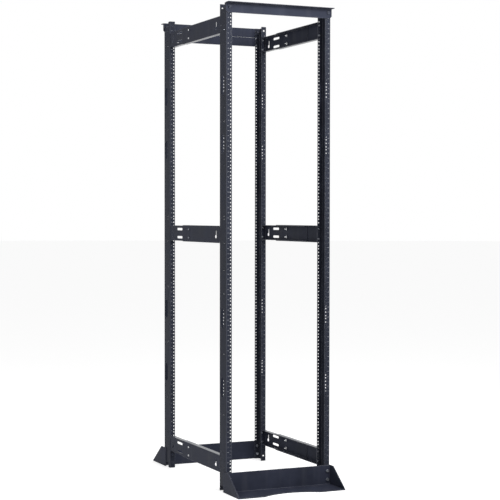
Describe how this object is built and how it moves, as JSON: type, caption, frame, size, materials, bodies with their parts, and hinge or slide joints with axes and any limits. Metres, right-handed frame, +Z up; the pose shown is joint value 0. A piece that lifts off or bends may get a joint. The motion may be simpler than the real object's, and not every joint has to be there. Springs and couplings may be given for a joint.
{
  "type": "four post open frame rack",
  "caption": "Tall open frame on two splayed bases, with channel posts full of equipment holes, joined by headers and telescoping side rails.",
  "frame": {"origin": "on the floor in the middle of the footprint", "axes": "+Z up along the posts, +X across the frame to the right seen from the front, -Y towards the front"},
  "size_m": [0.5134, 1.054, 2.1336],
  "materials": {
    "post_coat": "satin black powder coat",
    "rail_coat": "satin black powder coat",
    "frame_coat": "satin black powder coat",
    "frame_bolt_plate": "black zinc plate on the header, base and brace bolts, which the scene adds",
    "rail_bolt_plate": "bright zinc plate on the rail bolts, which the scene adds",
    "unit_mark_ink": "grey screen print of the rack unit marks, which the scene adds"
  },
  "bodies": {
    "root": {"base_front": "frame_coat", "base_rear": "frame_coat", "brace_rear": "frame_coat", "gusset_front_left": "frame_coat", "gusset_front_right": "frame_coat", "gusset_rear_left": "frame_coat", "gusset_rear_right": "frame_coat", "header_front": "frame_coat", "header_rear": "frame_coat", "post_front_left": "post_coat", "post_front_right": "post_coat", "post_rear_left": "post_coat", "post_rear_right": "post_coat", "rail_bottom_left_front": "rail_coat", "rail_bottom_left_rear": "rail_coat", "rail_bottom_right_front": "rail_coat", "rail_bottom_right_rear": "rail_coat", "rail_middle_left_front": "rail_coat", "rail_middle_left_rear": "rail_coat", "rail_middle_right_front": "rail_coat", "rail_middle_right_rear": "rail_coat", "rail_top_left_front": "rail_coat", "rail_top_left_rear": "rail_coat", "rail_top_right_front": "rail_coat", "rail_top_right_rear": "rail_coat"}
  },
  "joints": []
}
